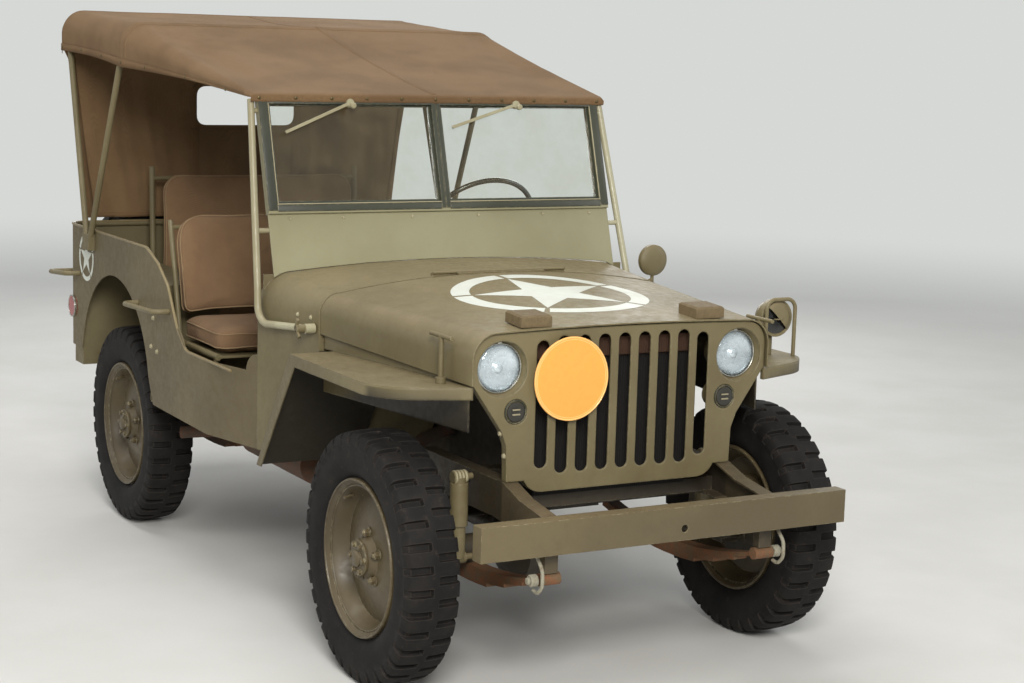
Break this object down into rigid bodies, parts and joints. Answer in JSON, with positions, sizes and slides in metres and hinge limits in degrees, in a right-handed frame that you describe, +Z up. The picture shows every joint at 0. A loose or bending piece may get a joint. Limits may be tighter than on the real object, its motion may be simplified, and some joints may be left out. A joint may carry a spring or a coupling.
{
  "type": "army 4x4 car",
  "caption": "Open four-wheel-drive army car with a slotted grille, cut-out doorways, folding-frame windshield, canvas top on bows, and two front seats and a bench.",
  "frame": {"origin": "on the ground under the middle of the bounding box", "axes": "+Y to the rear, +X to the car's left, +Z up"},
  "size_m": [1.574, 3.312, 1.8351],
  "materials": {
    "black_paint": "black and olive paint",
    "black_plastic": "black moulded rim",
    "body_paint": "matt olive drab paint with dust",
    "canvas": "woven tan canvas",
    "chassis_paint": "dark olive drab paint with road dirt",
    "dark_frame": "dark weathered paint",
    "exhaust_steel": "heat-browned steel",
    "lamp_glass": "clear sealed-beam lens",
    "orange_paint": "orange painted disc",
    "radiator_metal": "dusty dark brass and copper",
    "red_reflector": "red reflector",
    "seat_fabric": "brown canvas over padding",
    "spring_steel": "rusty spring steel",
    "tyre": "worn military tread",
    "wheel_paint": "matt olive drab paint with dust",
    "windshield_glass": "clear flat glass",
    "wood": "bare brown hardwood",
    "worn_tube": "pale worn paint"
  },
  "bodies": {
    "chassis": {"blackout_lamp": "body_paint", "body_side_left": "body_paint", "body_side_right": "body_paint", "canvas_top": "canvas", "cowl": "body_paint", "exhaust": "exhaust_steel", "fenders": "body_paint", "floor": "body_paint", "frame": "chassis_paint", "front_axle": "chassis_paint", "front_bumper": "body_paint", "fuel_tank": "body_paint", "glass_frames": "dark_frame", "grab_handles": "body_paint", "grille": "body_paint", "headlamp_lenses": "lamp_glass", "headlamp_shells": "body_paint", "hood_catches": "body_paint", "marker_lamps": "body_paint", "mirror": "body_paint", "powertrain": "chassis_paint", "propeller_shafts": "chassis_paint", "radiator": "radiator_metal", "rear_axle": "chassis_paint", "reflectors": "red_reflector", "seat_cushions": "seat_fabric", "seat_frames": "body_paint", "shock_absorbers": "body_paint", "sign_disc": "orange_paint", "steering_column": "black_paint", "suspension": "spring_steel", "tail_lamps": "body_paint", "tail_panel": "body_paint", "top_bows": "body_paint", "tow_gear": "chassis_paint", "tyre_spare": "tyre", "wheel_spare": "wheel_paint", "wheelhouses": "body_paint", "windshield_frame": "body_paint", "windshield_glass": "windshield_glass", "windshield_tubes": "worn_tube", "wipers": "worn_tube"},
    "knuckle_left": {"knuckle_left": "chassis_paint"},
    "knuckle_right": {"knuckle_right": "chassis_paint"},
    "tie_rod": {"tie_rod": "chassis_paint"},
    "wheel_fl": {"wheel_front_left": "wheel_paint", "tyre_front_left": "tyre"},
    "wheel_fr": {"wheel_front_right": "wheel_paint", "tyre_front_right": "tyre"},
    "wheel_rl": {"wheel_rear_left": "wheel_paint", "tyre_rear_left": "tyre"},
    "wheel_rr": {"wheel_rear_right": "wheel_paint", "tyre_rear_right": "tyre"},
    "hood_lid": {"hood": "body_paint", "hood_blocks": "wood"},
    "steering": {"steering_wheel": "black_plastic"},
    "passenger_seat": {"seat_frame_passenger": "body_paint", "seat_cushions_passenger": "seat_fabric"}
  },
  "joints": [
    {"name": "steer_left", "type": "hinge", "parent": "chassis", "child": "knuckle_left", "pos_m": [0.54, -1.144, 0.353], "axis": [0, 0, 1], "range_deg": [-26, 26]},
    {"name": "steer_right", "type": "hinge", "parent": "chassis", "child": "knuckle_right", "pos_m": [-0.54, -1.144, 0.353], "axis": [0, 0, 1], "range_deg": [-26, 26]},
    {"name": "tie_rod_pivot", "type": "hinge", "parent": "knuckle_left", "child": "tie_rod", "pos_m": [0.54, -0.994, 0.4083], "axis": [0, 0, 1], "range_deg": [-26, 26]},
    {"name": "steering_wheel_turn", "type": "hinge", "parent": "chassis", "child": "steering", "pos_m": [0.345, 0.141, 1.126], "axis": [0, 0.809, 0.5878], "range_deg": [-364, 364]},
    {"name": "spin_front_left", "type": "hinge", "parent": "knuckle_left", "child": "wheel_fl", "pos_m": [0.6225, -1.144, 0.353], "axis": [1, 0, 0], "continuous": true},
    {"name": "spin_front_right", "type": "hinge", "parent": "knuckle_right", "child": "wheel_fr", "pos_m": [-0.6225, -1.144, 0.353], "axis": [1, 0, 0], "continuous": true},
    {"name": "spin_rear_left", "type": "hinge", "parent": "chassis", "child": "wheel_rl", "pos_m": [0.6225, 0.888, 0.353], "axis": [1, 0, 0], "continuous": true},
    {"name": "spin_rear_right", "type": "hinge", "parent": "chassis", "child": "wheel_rr", "pos_m": [-0.6225, 0.888, 0.353], "axis": [1, 0, 0], "continuous": true},
    {"name": "hood_hinge", "type": "hinge", "parent": "chassis", "child": "hood_lid", "pos_m": [0, -0.6585, 1.07], "axis": [-1, 0, 0], "range_deg": [0, 110]},
    {"name": "passenger_seat_tip", "type": "hinge", "parent": "chassis", "child": "passenger_seat", "pos_m": [-0.47, 0.026, 0.5193], "axis": [1, 0, 0], "range_deg": [0, 40]}
  ],
  "couplings": [
    {"joint": "steer_right", "follows": "steer_left", "ratio": 1},
    {"joint": "tie_rod_pivot", "follows": "steer_left", "ratio": -1},
    {"joint": "steering_wheel_turn", "follows": "steer_left", "ratio": 14}
  ]
}
